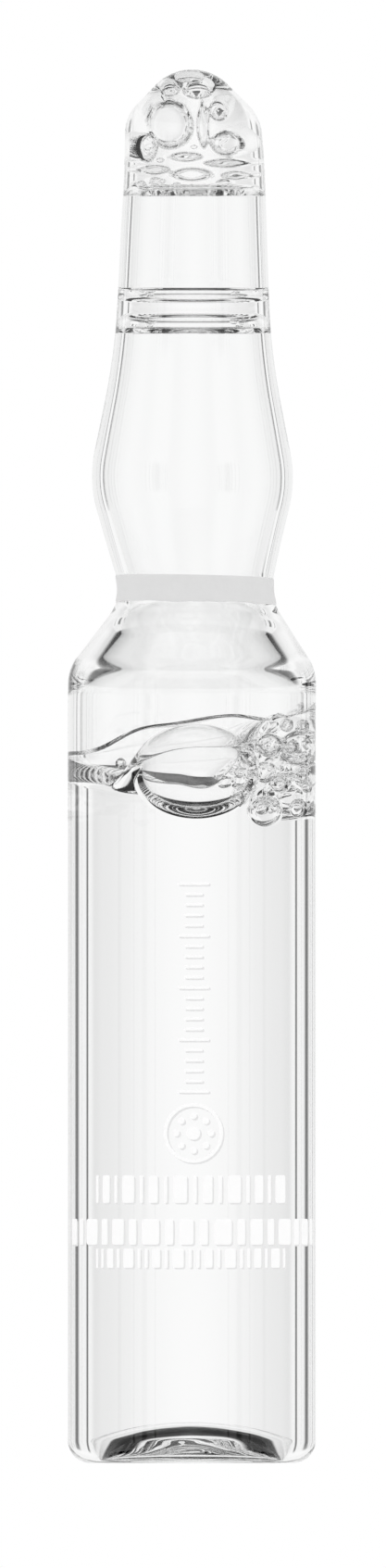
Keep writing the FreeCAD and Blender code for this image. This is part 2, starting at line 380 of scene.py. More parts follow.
def from_pole_to_pole(grid: np.ndarray, finish: Union[int, np.ndarray] = 0) -> Surface:
    """Closes a grid of rings at both ends.

    Args:
        grid: rows of rings, each of columns of points. The first and last rows are each one point,
            repeated. Outwards is to the right of a step along a row and then up a row.
        finish: one number, or one for each gap between two rows.

    Returns:
        The closed surface.
    """
    rows, columns = len(grid) - 2, grid.shape[1]
    finish = np.broadcast_to(np.asarray(finish), rows + 1)
    column = np.arange(columns)
    after = np.roll(column, -1)
    top = 1 + (rows - 1) * columns
    last = np.full(columns, rows * columns + 1)
    return Surface(
        np.vstack([grid[0, :1], grid[1:-1].reshape(-1, 3), grid[-1, :1]]),
        grid_quads(rows, columns) + 1,
        np.repeat(finish[1:-1], columns),
        np.vstack([np.stack([0 * column, 1 + after, 1 + column], axis=-1),
                   np.stack([last, top + column, top + after], axis=-1)]),
        np.repeat(finish[[0, -1]], columns),
    )


def hoop(grid: np.ndarray, finish: Union[int, np.ndarray] = 0) -> Surface:
    """Joins the last ring of a grid to its first.

    Args:
        grid: rows of rings, each of columns of points.
        finish: one number, or one for each gap between two rings.

    Returns:
        The closed surface.
    """
    rows, columns = grid.shape[:2]
    return Surface(grid.reshape(-1, 3), grid_quads(rows + 1, columns) % (rows * columns),
                   np.repeat(np.broadcast_to(np.asarray(finish), rows), columns))


def smooth_through(stations: Stations, at: np.ndarray) -> np.ndarray:
    """Smooth curve through stations.

    Between two stations it is a cubic, and its slope at each one is worked out from both
    neighbours. Past the ends it stays level.

    Args:
        stations: place and height of each, in the order of their places.
        at: places where the height is wanted.

    Returns:
        The heights there.
    """
    place, height = np.array(stations, float).T
    slope = np.gradient(height, place)
    i = np.clip(np.searchsorted(place, at) - 1, 0, len(place) - 2)
    step = place[i + 1] - place[i]
    t = np.clip((at - place[i]) / step, 0.0, 1.0)
    return (height[i] * (1 + 2 * t) * (1 - t) ** 2 + height[i + 1] * t ** 2 * (3 - 2 * t)
            + step * t * (1 - t) * (slope[i] * (1 - t) - slope[i + 1] * t))


def new_object(name: str, data: Any) -> bpy.types.Object:
    """Makes an object of a mesh or a camera and puts it into the scene.

    Args:
        name: its name.
        data: the mesh or the camera.

    Returns:
        The object, at the origin.
    """
    made = bpy.data.objects.new(name, data)
    bpy.context.scene.collection.objects.link(made)
    return made


def make_piece(name: str, surface: Surface, finishes: list[Any],
               smooth: bool = True) -> bpy.types.Object:
    """Makes an object of a surface, gives it its finishes and lets it ride on the ampoule.

    The drawn neck and tip stand a little to the right of the body's axis, and all pieces follow.

    Args:
        name: the object's name.
        surface: its points, in millimetres, and its faces.
        finishes: the finishes that the face numbers point at.
        smooth: whether light runs smoothly over its edges.

    Returns:
        The object.
    """
    mesh = bpy.data.meshes.new(name)
    points = surface.points.copy()
    points[:, 0] += smooth_through(LEAN, points[:, 2])
    mesh.from_pydata((points * MM).tolist(), [],
                     surface.quads.tolist() + surface.triangles.tolist())
    for finish in finishes:
        mesh.materials.append(finish.material())
    numbers = np.concatenate([surface.quad_finish, surface.triangle_finish])
    mesh.polygons.foreach_set("material_index", numbers.astype(np.int32))
    mesh.polygons.foreach_set("use_smooth", np.full(len(numbers), smooth))
    mesh.update()
    piece = new_object(name, mesh)
    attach(piece, BODY)
    log.info("%s: %d faces", name, len(numbers))
    return piece


# Half sections


@dataclass(frozen=True)
class Round:
    """A round of a half section: its centre across and up, its radius and its side.

    A corner is a round whose straight runs meet in its centre point, rounded off afterwards.
    """

    r: float
    z: float
    radius: float
    side: Side = Side.OUTWARD
    corner: bool = False

    @property
    def centre(self) -> np.ndarray:
        """The centre as a point of the half section."""
        return np.array([self.r, self.z])

    @property
    def reach(self) -> float:
        """Signed distance from the centre to a run that touches the round."""
        return 0.0 if self.corner else self.side.value * self.radius


def run_between(first: Round, second: Round) -> tuple[np.ndarray, np.ndarray]:
    """Straight run that touches two rounds.

    Its unit normal n points away from the axis, and n times the step from the first centre to the
    second is the first reach less the second.

    Args:
        first: the round that the run leaves.
        second: the round that it comes to.

    Returns:
        The run's start and end.
    """
    across, along = second.centre - first.centre
    offset = (first.reach - second.reach) / math.hypot(across, along)
    angle = math.asin(offset) - math.atan2(across, along)
    normal = np.array([math.cos(angle), math.sin(angle)])
    return first.centre + normal * first.reach, second.centre + normal * second.reach


def arc(centre: np.ndarray, start: np.ndarray, end: np.ndarray, side: Side) -> np.ndarray:
    """Points of an arc: centre plus radius times (cosine, sine) of evenly stepped angles.

    It turns to the left for an outward side and to the right for an inward one.

    Args:
        centre: its centre.
        start: its first point.
        end: its last point.
        side: the side that it bulges to.

    Returns:
        The points, with both ends.
    """
    first = math.atan2(start[1] - centre[1], start[0] - centre[0])
    last = math.atan2(end[1] - centre[1], end[0] - centre[0])
    turn = side.value * ((side.value * (last - first)) % (2 * math.pi))
    radius = math.dist(start, centre)
    count = max(abs(turn) / ARC_STEP, abs(turn) * radius / LONGEST_STEP, 2.0)
    angles = first + turn * np.linspace(0.0, 1.0, math.ceil(count) + 1)
    return centre + radius * np.stack([np.cos(angles), np.sin(angles)], axis=1)


def straight(start: np.ndarray, end: np.ndarray) -> np.ndarray:
    """Evenly spaced points of a straight run, with one more a tenth of a step from each end.

    Args:
        start: its first point.
        end: its last point.

    Returns:
        The points, with both ends.
    """
    count = max(math.ceil(math.dist(start, end) / LONGEST_STEP), 2)
    near = 0.1 / count
    share = np.sort(np.append(np.linspace(0.0, 1.0, count + 1), [near, 1 - near]))[:, None]
    return start + (end - start) * share


def rounded_corner(corner: Round, before: np.ndarray,
                   after: np.ndarray) -> tuple[np.ndarray, np.ndarray, np.ndarray]:
    """Rounds off a corner between two straight runs, by an arc that touches both.

    Args:
        corner: the corner.
        before: a point of the run that comes to it.
        after: a point of the run that leaves it.

    Returns:
        The arc's start, end and centre.
    """
    incoming = (corner.centre - before) / math.dist(corner.centre, before)
    outgoing = (after - corner.centre) / math.dist(after, corner.centre)
    bend = math.acos(float(incoming @ outgoing))
    setback = corner.radius * math.tan(bend / 2)
    start = corner.centre - incoming * setback
    left = np.array([-incoming[1], incoming[0]])
    centre = start + left * corner.radius * corner.side.value
    return start, corner.centre + outgoing * setback, centre


def half_section(apex: float, ring_radius: float, edge_round: float,
                 rounds: list[Round]) -> np.ndarray:
    """Half section of a turned shape, from the axis at its foot to the axis at its tip.

    The dome in the foot has the radius (x * x + a * a) / (2 * a) - e, with x the ring's radius, a
    the dome's rise and e the round of its edge, which it touches from outside.

    Args:
        apex: height of the dome's top.
        ring_radius: inner radius of the flat ring round the dome.
        edge_round: round between dome and ring.
        rounds: what follows the flat ring, up to a round on the axis.

    Returns:
        Points as rows of radius and height.
    """
    runs = [run_between(a, b) for a, b in zip(rounds, rounds[1:])]
    starts = [rounds[0].centre - [0, rounds[0].radius]] + [run[1] for run in runs]
    ends = [run[0] for run in runs] + [rounds[-1].centre + [0, rounds[-1].radius]]
    centres = [item.centre for item in rounds]
    for i, item in enumerate(rounds):
        if item.corner:
            starts[i], ends[i], centres[i] = rounded_corner(item, ends[i - 1], starts[i + 1])

    ring = np.array([ring_radius, starts[0][1]])
    rise = apex - ring[1]
    radius = (ring_radius ** 2 + rise ** 2) / (2 * rise) - edge_round
    centre = np.array([0.0, apex - radius])
    edge_centre = ring + [0, edge_round]
    touch = centre + (edge_centre - centre) * radius / math.dist(edge_centre, centre)
    parts = [arc(centre, np.array([0.0, apex]), touch, Side.INWARD),
             arc(edge_centre, touch, ring, Side.OUTWARD), straight(ring, starts[0])]
    for i, item in enumerate(rounds):
        parts.append(arc(centres[i], starts[i], ends[i], item.side))
        if i < len(rounds) - 1:
            parts.append(straight(ends[i], starts[i + 1]))
    section = np.vstack(parts)
    apart = np.linalg.norm(np.diff(section, axis=0), axis=1) > 1e-6
    section = section[np.append(True, apart)]
    section[[0, -1], 0] = 0.0
    return section


def with_height(section: np.ndarray, height: float) -> tuple[np.ndarray, int]:
    """Puts a row into a half section where its wall first passes a height.

    Args:
        section: half section.
        height: where the row is wanted, well above the foot.

    Returns:
        The section with the row, and the row's number.
    """
    row = int(np.argmax(section[:, 1] > height))
    below, above = section[row - 1], section[row]
    point = below + (above - below) * (height - below[1]) / (above[1] - below[1])
    return np.insert(section, row, point, axis=0), row


def moved_in(section: np.ndarray, gap: float) -> np.ndarray:
    """Moves a half section off the wall into the bore, along its own normals.

    Args:
        section: the half section.
        gap: how far it moves.

    Returns:
        The new half section, which still ends on the axis.
    """
    along = np.gradient(section, axis=0)
    normal = np.stack([-along[:, 1], along[:, 0]], axis=1)
    normal /= np.linalg.norm(normal, axis=1)[:, None]
    shifted = section + normal * gap
    shifted[:, 0] = np.where(section[:, 0] > 0, shifted[:, 0], 0.0)
    return shifted


def turned(section: np.ndarray) -> np.ndarray:
    """Rows of rings: each point of a half section carried once round the axis."""
    return on_rings(section[:, :1], full_turn(COLUMNS), section[:, 1:])


@dataclass(frozen=True)
class Wetting:
    """How a free surface ends on the wall: upright first, then with a short slanting lip.

    lip_width and lip_height are the lip's sizes across and up. power says how square the corner is
    between the level middle and the upright part, and lip_power how hollow the lip is.
    """

    power: float
    lip_width: float
    lip_height: float
    lip_power: float = 1.15

    def height(self, off_wall: np.ndarray, radius: float, level: Any, line: Any) -> np.ndarray:
        """Height of the surface.

        Up to the lip it is level + rise * (1 - square root of (1 - s to the power)), with s as the
        distance from the axis over that of the lip. The lip adds its height times the lip power of
        the share of its width.

        Args:
            off_wall: distance from the wall.
            radius: the wall's radius.
            level: height in the middle.
            line: height of the contact line.

        Returns:
            The height, the shape of off_wall.
        """
        share = np.clip((radius - off_wall) / (radius - self.lip_width), 0.0, 1.0)
        lip = self.lip_height * np.sign(line - level)
        slant = 1.0 - np.clip(off_wall / self.lip_width, 0.0, 1.0)
        upright = 1 - np.sqrt(np.maximum(1 - share ** self.power, 0.0))
        return level + (line - lip - level) * upright + lip * slant ** self.lip_power


@dataclass(frozen=True)
class Meniscus:
    """A free surface round the axis: its heights in the middle and at the wall."""

    middle: float
    contact: float
    wetting: Wetting
    level_points: int = 60
    lip_points: int = 12

    def to_rim(self, rim_radius: float) -> np.ndarray:
        """Half section of the surface.

        Up to the lip its points lie at the sines of even steps, and so closer together there.

        Args:
            rim_radius: radius of the contact line.

        Returns:
            Points from the axis to the rim, as rows of radius and height.
        """
        lip = self.wetting.lip_width
        level_part = np.sin(np.linspace(0.0, math.pi / 2, self.level_points)[:-1])
        radius = np.append((rim_radius - lip) * level_part,
                           rim_radius - lip * np.linspace(1, 0, self.lip_points))
        height = self.wetting.height(rim_radius - radius, rim_radius, self.middle, self.contact)
        return np.stack([radius, height], axis=1)


@dataclass(frozen=True)
class Bubble:
    """A bubble: its radius, place across and height, and how far it is out of round.

    wide, deep and tall are its half sizes across, from front to back and up, over its radius.
    drum is 2 for a round bubble, and more for a cell with a flatter front and back.
    """

    radius: float
    x: float
    y: float
    z: float
    wide: float = 1.0
    deep: float = 1.0
    tall: float = 1.0
    drum: float = 2.0
    lump: float = 0.03

    def rings(self, rows: int, film: float = 0.0) -> np.ndarray:
        """Rings of points from the lowest to the highest, on the bubble or a film outside it.

        Radius times (wide x, deep y, tall z), where the distance of (x, z) from the y axis to the
        power drum, plus y to that power, is 1. The radius is times 1 plus a lump that has three
        waves round the bubble and two from pole to pole, and starts elsewhere on each bubble.

        Args:
            rows: number of rings, each of twice as many points.
            film: how far outside the bubble the points lie.

        Returns:
            The grid of points.
        """
        polar = np.linspace(math.pi, 0.0, rows)[:, None]
        angle = full_turn(2 * rows)
        phase = self.x * 7.0 + self.z * 3.0
        size = film + self.radius * (1 + self.lump * np.sin(polar) ** 2
                                     * np.sin(3 * angle + phase) * np.cos(2 * polar + phase))
        x, y = np.sin(polar) * np.cos(angle), np.sin(polar) * np.sin(angle)
        z = np.cos(polar) + 0 * angle
        size = size / (np.hypot(x, z) ** self.drum + np.abs(y) ** self.drum) ** (1 / self.drum)
        return np.stack([self.x + size * self.wide * x, self.y + size * self.deep * y,
                         self.z + size * self.tall * z], axis=-1)

    def surface(self) -> Surface:
        """Closed surface that faces into the bubble."""
        rows = BUBBLE_ROWS + round(BUBBLE_ROWS_PER_MM * self.radius)
        return from_pole_to_pole(self.rings(rows)).inside_out()

    def holds(self, points: np.ndarray) -> bool:
        """Whether any of some points lies within the bubble.

        Args:
            points: the points.

        Returns:
            True where one does.
        """
        off = np.abs(points - [self.x, self.y, self.z]) / [self.wide, self.deep, self.tall]
        across = np.hypot(off[..., 0], off[..., 2])
        size = (across ** self.drum + off[..., 1] ** self.drum) ** (1 / self.drum)
        return bool(np.any(size < self.radius * (1 + self.lump)))

    def film_height(self, x: np.ndarray, y: np.ndarray, film: float) -> np.ndarray:
        """Height of the film over the bubble.

        It is the bubble's own shape, larger by the film. Past the angle where it gets steep it
        goes on as a straight skirt.

        Args:
            x: places across.
            y: places from front to back.
            film: the film's thickness.

        Returns:
            The heights there.
        """
        steep = 0.9
        off = np.hypot((x - self.x) / (self.radius * self.wide + film),
                       (y - self.y) / (self.radius * self.deep + film))
        inner = np.sqrt(1 - np.minimum(off, steep) ** 2)
        skirt = np.maximum(off - steep, 0.0) * steep / math.sqrt(1 - steep ** 2)
        return self.z + (self.radius * self.tall + film) * (inner - skirt)


@dataclass(frozen=True)
class Foam:
    """Cells that crowd into a part of a turned space, as foam does.

    Places are drawn at random from a fixed seed, for the largest cells first. A cell stays where
    it clears the wall and all cells before it by a film, tested at the points of a few rings.
    """

    seed: int
    tries: int
    corner_low: tuple[float, float, float]
    corner_high: tuple[float, float, float]
    radii: tuple[float, float]
    deep: float = 1.0
    tall: float = 1.0
    drum: float = 2.0
    lump: float = 0.06
    film: float = 0.03
    test_rings: int = 9

    def fill(self, wall: np.ndarray, placed: tuple[Bubble, ...],
             roof: Optional[Callable[..., np.ndarray]] = None) -> tuple[Bubble, ...]:
        """Finds the cells.

        Args:
            wall: half section of the space.
            placed: bubbles that are already there.
            roof: height of a surface over the space, from x and y, where it has one.

        Returns:
            Those bubbles and the new ones.
        """
        draw = np.random.default_rng(self.seed)
        spots = draw.uniform(self.corner_low, self.corner_high, (self.tries, 3))
        wall = wall[np.argsort(wall[:, 1])]
        found = list(placed)
        for spot, size in zip(spots, np.geomspace(self.radii[1], self.radii[0], self.tries)):
            cell = Bubble(float(size), *(float(v) for v in spot), deep=self.deep, tall=self.tall,
                          drum=self.drum, lump=self.lump)
            edge = cell.rings(self.test_rings, self.film)
            x, y, z = np.moveaxis(edge, -1, 0)
            room = np.interp(z, wall[:, 1], wall[:, 0], left=0.0, right=0.0)
            free = np.all(np.hypot(x, y) < room) and (roof is None or np.all(z < roof(x, y)))
            if free and not any(other.holds(edge) for other in found):
                found.append(cell)
        return tuple(found)


# The ampoule


@dataclass
class Glass:
    """The glass: one piece of drawn tube with foot, shoulder, constriction, bulb, stem and tip."""

    body_diameter: float = 10.75
    heel_round: float = 1.0
    ring_inner_radius: float = 4.2
    punt_depth: float = 1.5
    punt_edge_round: float = 0.15
    shoulder_height: float = 33.75
    shoulder_round: float = 2.0
    neck_rise: float = 4.15
    neck_diameter: float = 6.7
    neck_round: float = 2.0
    bulb_rise: float = 4.8
    bulb_diameter: float = 8.7
    bulb_round: float = 5.5
    stem_foot_rise: float = 5.37
    stem_foot_diameter: float = 6.77
    stem_foot_round: float = 28.0
    crown_rise: float = 9.38
    crown_diameter: float = 5.96
    crown_round: float = 2.0
    nose_rise: float = 0.7
    nose_round: float = 2.2
    body_wall: float = 0.5
    floor_wall: float = 0.3
    neck_wall: float = 0.55
    bulb_wall: float = 0.49
    stem_wall: float = 0.43
    tip_wall: float = 0.5
    bore_shoulder_drop: float = 0.5
    bore_shoulder_round: float = 1.6
    ledge_radius: float = 3.05
    ledge_lift: float = 1.2
    ledge_round: float = 2.0

    def __post_init__(self) -> None:
        """Works out the heights and radii that the outside and the bore share."""
        self.body_radius = self.body_diameter / 2
        self.bore_radius = self.body_radius - self.body_wall
        self.neck_height = self.shoulder_height + self.neck_rise
        self.neck_centre = self.neck_diameter / 2 + self.neck_round
        self.bulb_height = self.neck_height + self.bulb_rise
        self.bulb_centre = self.bulb_diameter / 2 - self.bulb_round
        self.stem_foot_height = self.bulb_height + self.stem_foot_rise
        self.crown_height = self.stem_foot_height + self.crown_rise
        self.crown_centre = self.crown_diameter / 2 - self.crown_round
        self.nose_height = self.crown_height + self.nose_rise
        self.bore_shoulder_height = self.shoulder_height - self.bore_shoulder_drop

    def outside(self) -> np.ndarray:
        """Sets out the outside's rounds, from the heel to the nose.

        Returns:
            Its half section.
        """
        return half_section(self.punt_depth, self.ring_inner_radius, self.punt_edge_round, [
            Round(self.body_radius - self.heel_round, self.heel_round, self.heel_round),
            Round(self.body_radius - self.shoulder_round, self.shoulder_height,
                  self.shoulder_round),
            Round(self.neck_centre, self.neck_height, self.neck_round, Side.INWARD),
            Round(self.bulb_centre, self.bulb_height, self.bulb_round),
            Round(self.stem_foot_diameter / 2, self.stem_foot_height, self.stem_foot_round,
                  Side.INWARD, corner=True),
            Round(self.crown_centre, self.crown_height, self.crown_round),
            Round(0.0, self.nose_height, self.nose_round),
        ])

    def bore(self) -> np.ndarray:
        """Sets out the bore's rounds: the outside's, stepped in by the wall at each.

        Returns:
            Its half section.
        """
        ledge_height = self.bore_shoulder_height + self.bore_shoulder_round + self.ledge_lift
        return half_section(
            self.punt_depth + self.floor_wall, self.ring_inner_radius, self.punt_edge_round, [
                Round(self.body_radius - self.heel_round, self.heel_round,
                      self.heel_round - self.body_wall),
                Round(self.bore_radius - self.bore_shoulder_round, self.bore_shoulder_height,
                      self.bore_shoulder_round),
                Round(self.ledge_radius, ledge_height, self.ledge_round, Side.INWARD, corner=True),
                Round(self.neck_centre, self.neck_height, self.neck_round + self.neck_wall,
                      Side.INWARD),
                Round(self.bulb_centre, self.bulb_height, self.bulb_round - self.bulb_wall),
                Round(self.stem_foot_diameter / 2 - self.stem_wall, self.stem_foot_height,
                      self.stem_foot_round, Side.INWARD, corner=True),
                Round(self.crown_centre, self.crown_height, self.crown_round - self.stem_wall),
                Round(0.0, self.nose_height, self.nose_round - self.tip_wall),
            ])


@dataclass
class Filling:
    """The liquid: what stands in the body, the plug in the neck and what hangs in the tip.

    levels is the height of the body's surface by the place across, and contact_line its height at
    the wall by the angle from the right. film is the thickness of the liquid over the large
    bubble, and blend how softly it meets the surface. Between still_low and still_high the bore's
    rows follow the contact line. The surface's rows crowd towards the rim by the power crowding,
    and end over the bubble, at pole_share of its way to the front. tip_edge bounds the tip's foam,
    as height and radius, and the plug's foam stays plug_foam_reach off the middle.
    """

    glass: Glass
    levels: Stations = ((-4.9, 29.3), (-1.0, 28.9), (1.2, 28.9), (2.0, 30.3), (2.9, 31.9),
                        (4.9, 32.3))
    wetting: Wetting = Wetting(6.0, 0.25, 0.13)
    contact_line: Stations = (
        (0, 32.95), (40, 32.2), (90, 31.1), (135, 30.7), (180, 30.8), (219, 31.05), (243, 31.85),
        (262, 32.1), (292, 32.44), (310, 32.28), (340, 32.6), (360, 32.95))
    film: float = 0.1
    blend: float = 0.07
    still_low: float = 26.0
    still_high: float = 33.2
    lip_rows: int = 10
    surface_rows: int = 130
    crowding: float = 1.8
    pole_share: float = 0.5
    plug_below: Meniscus = Meniscus(49.8, 48.9, Wetting(10.0, 0.45, 0.26))
    plug_above: Meniscus = Meniscus(50.18, 50.89, Wetting(10.0, 0.2, 0.11))
    tip_below: Meniscus = Meniscus(55.4, 54.86, Wetting(8.0, 0.5, 0.3))
    dome: Bubble = Bubble(2.0, 0.17, -2.7, 29.9, wide=1.25, tall=1.03, lump=0.01)
    placed_foam: tuple[Bubble, ...] = (
        Bubble(0.6, 3.05, -2.1, 31.1, deep=1.8, tall=0.9, drum=4.0),
        Bubble(0.3, 3.95, -1.9, 31.0, deep=1.8, drum=4.0),
        Bubble(0.4, 3.45, -2.1, 29.43, deep=1.8, drum=4.0),
        Bubble(0.24, -2.9, -3.5, 30.3),
    )
    body_foam: Foam = Foam(3, 1600, (2.3, -4.4, 28.2), (4.8, 4.0, 32.3), (0.3, 1.0), deep=1.2,
                           drum=3.0)
    placed_tip_foam: tuple[Bubble, ...] = (
        Bubble(0.98, -0.87, -0.1, 57.8, wide=0.95, deep=1.7, drum=4.5),
        Bubble(0.92, 0.37, -0.1, 57.75, wide=0.3, deep=1.8, drum=4.5),
        Bubble(0.6, 1.27, -0.3, 57.12, wide=1.2, deep=2.8, drum=4.5),
        Bubble(0.4, 0.95, -0.1, 58.3, deep=2.8, drum=5.0),
        Bubble(0.36, -0.8, 0.0, 59.14, wide=1.1, deep=2.0, drum=4.0),
        Bubble(0.44, 0.2, 0.0, 59.08, wide=1.3, deep=2.0, drum=4.0),
        Bubble(0.5, -0.1, 0.0, 59.6, tall=0.26, drum=4.0),
        Bubble(0.6, -1.83, -0.3, 56.95, wide=0.8, deep=2.6, tall=1.15, drum=5.0),
        Bubble(0.85, -0.1, -0.4, 55.8, deep=2.4, tall=0.4, drum=5.0),
        Bubble(0.66, 1.2, -0.3, 56.28, wide=1.4, deep=2.6, tall=0.36, drum=5.0),
        Bubble(0.62, -0.3, -0.3, 56.55, wide=1.1, deep=2.6, tall=0.42, drum=5.0),
        Bubble(0.5, -1.5, -0.3, 56.0, wide=1.3, deep=2.6, tall=0.5, drum=5.0),
        Bubble(0.45, 1.55, -0.3, 55.75, wide=1.4, deep=2.6, tall=0.5, drum=5.0),
    )
    tip_edge: Stations = ((54.0, 2.55), (56.7, 2.5), (59.4, 1.0), (60.0, 0.5))
    tip_foam: Foam = Foam(5, 1500, (-2.4, -2.4, 55.3), (2.4, 2.4, 59.6), (0.12, 0.6), deep=2.4,
                          tall=0.8, drum=5.0)
    plug_foam: Foam = Foam(2, 500, (-2.8, -2.3, 49.0), (2.8, -0.4, 50.8), (0.07, 0.22))
    plug_foam_reach: float = 1.6

    def __post_init__(self) -> None:
        """Gives the bore a row on each contact line, and the liquid a section inside it."""
        self.wall_radius = self.glass.bore_radius - SKIN_GAP
        self.still_middle = float(np.mean(self.contact_height()))
        section = self.glass.bore()
        rows = []
        for height in (self.still_middle, self.plug_below.contact, self.plug_above.contact,
                       self.tip_below.contact):
            section, row = with_height(section, height)
            rows.append(row)
        self.bore_section = section
        self.liquid_section = moved_in(section, SKIN_GAP)
        self.contact_row, *self.plug_rows, self.tip_row = rows

    def height(self, x: np.ndarray, y: np.ndarray) -> np.ndarray:
        """Height of the liquid's surface in the body at a place across.

        The level is higher at the right, where the foam is. From it the surface rises to the
        contact line as a wetting surface does. The film over the large bubble joins it by a smooth
        maximum: blend * log(sum of exp(height / blend)).

        Args:
            x: places across.
            y: places from front to back.

        Returns:
            The heights there.
        """
        angle = np.degrees(np.arctan2(y, x)) % 360.0
        (before, left), (after, right) = self.contact_line[-2], self.contact_line[1]
        line = smooth_through(
            ((before - 360.0, left), *self.contact_line, (after + 360.0, right)), angle)
        level = smooth_through(self.levels, x)
        off_wall = self.wall_radius - np.hypot(x, y)
        base = self.wetting.height(off_wall, self.wall_radius, level, line)
        film = self.dome.film_height(x, y, self.film)
        return self.blend * np.logaddexp(base / self.blend, film / self.blend)

    def contact_height(self) -> np.ndarray:
        """Height of the contact line on the body's bore, for each column."""
        angle = full_turn(COLUMNS)
        return self.height(self.wall_radius * np.cos(angle), self.wall_radius * np.sin(angle))

    def tilted(self, grid: np.ndarray) -> np.ndarray:
        """Moves the rows of the body's bore so that one lies on the contact line.

        Between the height below which nothing moves, the contact line and the height above which
        nothing moves, heights are stretched in proportion.

        Args:
            grid: rows of rings on the bore.

        Returns:
            The grid with its new heights.
        """
        line = self.contact_height()
        height = grid[..., 2]
        low, middle, high = self.still_low, self.still_middle, self.still_high
        under = low + (height - low) * (line - low) / (middle - low)
        over = line + (height - middle) * (high - line) / (high - middle)
        moved = np.where(height <= middle, under, over)
        still = (height < low) | (height > high)
        grid = grid.copy()
        grid[..., 2] = np.where(still, height, moved)
        return grid

    @staticmethod
    def make_liquid(name: str, outer: Surface, bubbles: Iterable[Bubble]) -> bpy.types.Object:
        """Makes a piece of liquid.

        Args:
            name: the object's name.
            outer: its surface, whose finish is 1 where it lies against the glass.
            bubbles: the bubbles in it.

        Returns:
            The object.
        """
        return make_piece(name, joined([outer, *(bubble.surface() for bubble in bubbles)]),
                          [LIQUID_SURFACE, LIQUID_AGAINST_GLASS])

    def build_glass(self) -> None:
        """Builds the glass, wetted where the liquid stands against it."""
        outside = self.glass.outside()
        punt = np.arange(len(outside) - 1) < np.argmax(outside[:, 1] <= 0.0)
        outer = from_pole_to_pole(turned(outside), 2 * punt)
        gaps = np.arange(len(self.bore_section) - 1)
        low, high = self.plug_rows
        wet = (gaps < self.contact_row) | ((gaps >= low) & (gaps < high)) | (gaps >= self.tip_row)
        grid = self.tilted(turned(self.bore_section))
        inner = from_pole_to_pole(grid, wet.astype(int)).inside_out()
        piece = make_piece("ampoule_glass", joined([outer, inner]),
                           [CLEAR_GLASS, WETTED_GLASS, PUNT_GLASS])
        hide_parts("glass")

    def build_solution(self) -> None:
        """Builds the liquid in the body, its domed film and its bubbles.

        The wall is the bore's, a skin's gap inside it. The surface is a grid of spokes from the
        rim to a point over the large bubble, with the height of the surface at each point. Its
        rows are evenly spaced over the lip, and past it they start close together, where the
        surface stands up. A spoke s from the middle m meets the lip's inner edge at the share q
        for which m + q * s is that far from the axis.
        """
        wall = self.tilted(turned(self.liquid_section))[:self.contact_row + 1]
        rim = wall[-1]
        middle = np.array([self.dome.x, self.pole_share * self.dome.y])
        spoke = rim[:, :2] - middle
        edge = self.wall_radius - self.wetting.lip_width
        length, along = np.sum(spoke ** 2, axis=1), spoke @ middle
        inner = (np.sqrt(along ** 2 + length * (edge ** 2 - middle @ middle)) - along) / length
        inner = inner[None, :, None]
        over_lip = np.linspace(0.0, 1.0, self.lip_rows + 2)[1:-1, None, None]
        past_lip = np.linspace(0.0, 1.0, self.surface_rows)[:, None, None] ** self.crowding
        share = np.concatenate([1 + (inner - 1) * over_lip, inner * (1 - past_lip)])
        across = middle + spoke * share
        grid = np.vstack([wall, np.dstack([across, self.height(*np.moveaxis(across, -1, 0))])])
        on_wall = np.arange(len(grid) - 1) < self.contact_row
        foam = self.body_foam.fill(self.liquid_section, (self.dome, *self.placed_foam),
                                   self.height)
        piece = self.make_liquid("liquid_in_body", from_pole_to_pole(grid, on_wall.astype(int)),
                                 foam)
        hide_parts("solution")

    def build_plug(self) -> None:
        """Builds the plug at the foot of the stem, hollow on both sides, with its foam."""
        low, high = self.plug_rows
        wall = self.liquid_section[low:high + 1]
        under = self.plug_below.to_rim(wall[0, 0])[:-1]
        over = self.plug_above.to_rim(wall[-1, 0])[-2::-1]
        section = np.vstack([under, wall, over])
        gaps = np.arange(len(section) - 1)
        on_wall = (gaps >= len(under)) & (gaps < len(under) + len(wall) - 1)
        outer = from_pole_to_pole(turned(section), on_wall.astype(int))
        foam = (bubble for bubble in self.plug_foam.fill(section, ())
                if abs(bubble.x) > self.plug_foam_reach)
        piece = self.make_liquid("liquid_in_neck", outer, foam)
        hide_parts("neck_plug")

    def build_tip(self) -> None:
        """Builds the liquid in the tip, with its foam."""
        wall = self.liquid_section[self.tip_row:]
        under = self.tip_below.to_rim(wall[0, 0])[:-1]
        section = np.vstack([under, wall])
        on_wall = np.arange(len(section) - 1) >= len(under)
        foam = self.tip_foam.fill(np.array(self.tip_edge)[:, ::-1], self.placed_tip_foam)
        outer = from_pole_to_pole(turned(section), on_wall.astype(int))
        piece = self.make_liquid("liquid_in_tip", outer, foam)
        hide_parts("tip_liquid")


